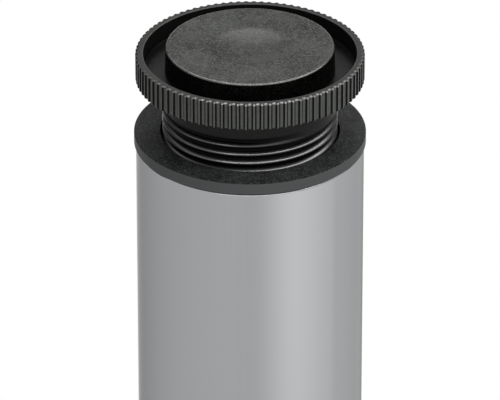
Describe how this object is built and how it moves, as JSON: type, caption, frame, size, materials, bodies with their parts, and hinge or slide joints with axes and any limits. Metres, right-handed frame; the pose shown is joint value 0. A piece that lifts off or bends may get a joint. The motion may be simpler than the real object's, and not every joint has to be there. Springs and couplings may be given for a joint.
{
  "type": "height adjustable table leg",
  "caption": "Round tubular table leg with a levelling foot: a knurled wheel on a coarse screw thread sets the height, and a plate with a spigot fixes the leg under a table top.",
  "frame": {"origin": "centre of the fixing plate's mounting face, which is the lowest plane of the part as stored", "axes": "+Z along the leg from the fixing plate to the foot, so the leg is stored foot up as in the picture; +Y through the clamp screw's key hole"},
  "size_m": [0.1, 0.1, 0.7253],
  "materials": {
    "tube_metal": "satin silver",
    "cast_metal": "satin silver lacquer on a casting",
    "screw_steel": "blackened steel",
    "insert_plastic": "black moulded plastic with a fine grain",
    "foot_plastic": "black moulded plastic, satin",
    "glide_plastic": "dark grey moulded plastic with a fine grain"
  },
  "bodies": {
    "leg": {"fixing_plate": "cast_metal", "clamp_screw": "screw_steel", "leg_tube": "tube_metal", "tube_insert": "insert_plastic"},
    "glide": {"floor_glide": "glide_plastic"},
    "foot": {"adjusting_foot": "foot_plastic"}
  },
  "joints": [
    {"name": "foot_travel", "type": "slide", "parent": "leg", "child": "glide", "axis": [0, 0, 1], "range_m": [-0.01501, 0.01001]},
    {"name": "foot_turn", "type": "hinge", "parent": "glide", "child": "foot", "pos_m": [0, 0, 0.716], "axis": [0, 0, 1], "range_deg": [-2160, 1440]}
  ],
  "couplings": [
    {"joint": "foot_travel", "follows": "foot_turn", "m_per_rad": 0.00039789}
  ]
}
